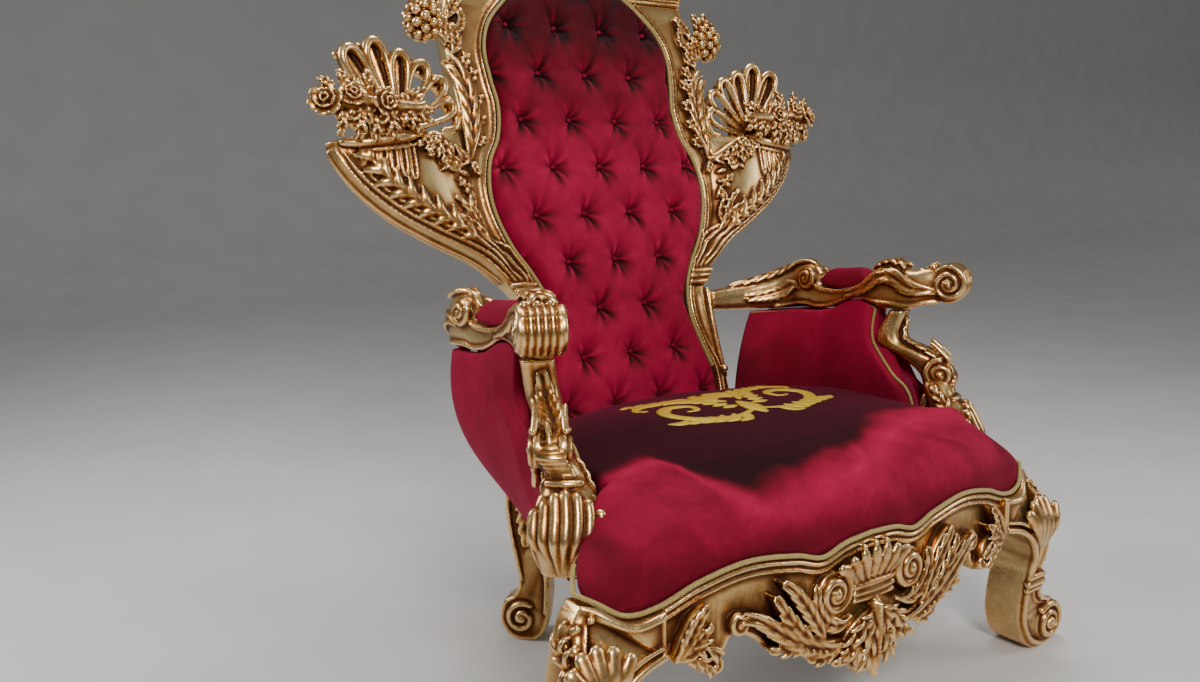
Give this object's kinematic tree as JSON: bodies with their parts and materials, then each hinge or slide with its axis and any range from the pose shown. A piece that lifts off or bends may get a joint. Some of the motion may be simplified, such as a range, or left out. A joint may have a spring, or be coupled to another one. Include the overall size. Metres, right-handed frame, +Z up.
{
  "type": "throne",
  "caption": "Carved gilded throne with cornucopia wings, diamond-tufted velvet back, padded open arms, carved front rail and scrolled legs.",
  "frame": {"origin": "on the floor, under the middle of the bounding box", "axes": "+Z up, -Y the way the sitter faces, +X to the right of someone who looks at the front"},
  "size_m": [1.31, 0.956, 1.6108],
  "materials": {
    "gilt_wood": "gilded, with a warm brown glaze in the hollows",
    "velvet": "crimson pile velvet",
    "gimp_cord": "twisted gold thread"
  },
  "bodies": {
    "root": {"arm_post_left": "gilt_wood", "arm_post_right": "gilt_wood", "arm_rail_left": "gilt_wood", "arm_rail_right": "gilt_wood", "back_leg_left": "gilt_wood", "back_leg_right": "gilt_wood", "back_rail": "gilt_wood", "back_wing_left": "gilt_wood", "back_wing_right": "gilt_wood", "crest_rail": "gilt_wood", "flower_cluster_left": "gilt_wood", "flower_cluster_right": "gilt_wood", "front_leg_left": "gilt_wood", "front_leg_right": "gilt_wood", "front_rail": "gilt_wood", "grape_cluster_left": "gilt_wood", "grape_cluster_right": "gilt_wood", "shell_fan_left": "gilt_wood", "shell_fan_right": "gilt_wood", "side_rail_left": "gilt_wood", "side_rail_right": "gilt_wood", "arm_cover_outer_left": "velvet", "arm_cover_outer_right": "velvet", "arm_pad_inner_left": "velvet", "arm_pad_inner_right": "velvet", "arm_top_pad_left": "velvet", "arm_top_pad_right": "velvet", "back_panel_front": "velvet", "back_panel_rear": "velvet", "seat_cushion": "velvet", "back_cord": "gimp_cord", "seat_cord": "gimp_cord"}
  },
  "joints": []
}
